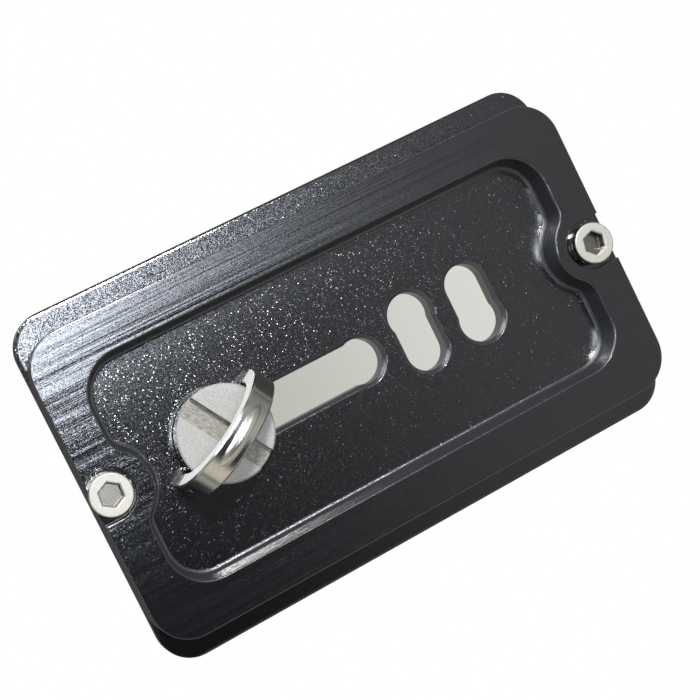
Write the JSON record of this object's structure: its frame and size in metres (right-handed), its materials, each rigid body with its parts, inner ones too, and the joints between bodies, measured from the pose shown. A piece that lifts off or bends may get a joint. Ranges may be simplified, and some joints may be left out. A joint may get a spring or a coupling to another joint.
{
  "type": "quick release plate",
  "caption": "Black camera quick release plate: dovetail underside with a recessed floor, slots, a captive camera screw with a folding finger ring, and stop screws at the ends.",
  "frame": {"origin": "centre of the underside face, where the dovetail seats in a clamp", "axes": "+X along the plate towards its cross slots, +Y across it, +Z out of the underside, away from the camera"},
  "size_m": [0.0705, 0.0434, 0.0189],
  "materials": {
    "anodised_black": "black anodised, bead blasted floor and faintly brushed rim",
    "stainless": "satin turned stainless steel",
    "stop_steel": "satin stainless steel",
    "washer_nylon": "matte black nylon",
    "pad_rubber": "matte black rubber"
  },
  "bodies": {
    "plate_body": {"plate": "anodised_black", "stop_screw_left": "stop_steel", "stop_screw_right": "stop_steel", "front_grip_pad": "pad_rubber", "rear_grip_pad": "pad_rubber"},
    "washer_body": {"screw_washer": "washer_nylon"},
    "screw_body": {"camera_screw": "stainless"},
    "ring_body": {"d_ring": "stainless"}
  },
  "joints": [
    {"name": "slot_slide", "type": "slide", "parent": "plate_body", "child": "washer_body", "axis": [1, 0, 0], "range_m": [0, 0.01882]},
    {"name": "screw_turn", "type": "hinge", "parent": "washer_body", "child": "screw_body", "pos_m": [-0.01809, 0, -0.0016], "axis": [0, 0, 1], "continuous": true},
    {"name": "ring_fold", "type": "hinge", "parent": "screw_body", "child": "ring_body", "pos_m": [-0.01809, 0, -0.0016], "axis": [0.8572, 0.515, 0], "range_deg": [-94, 86]}
  ]
}
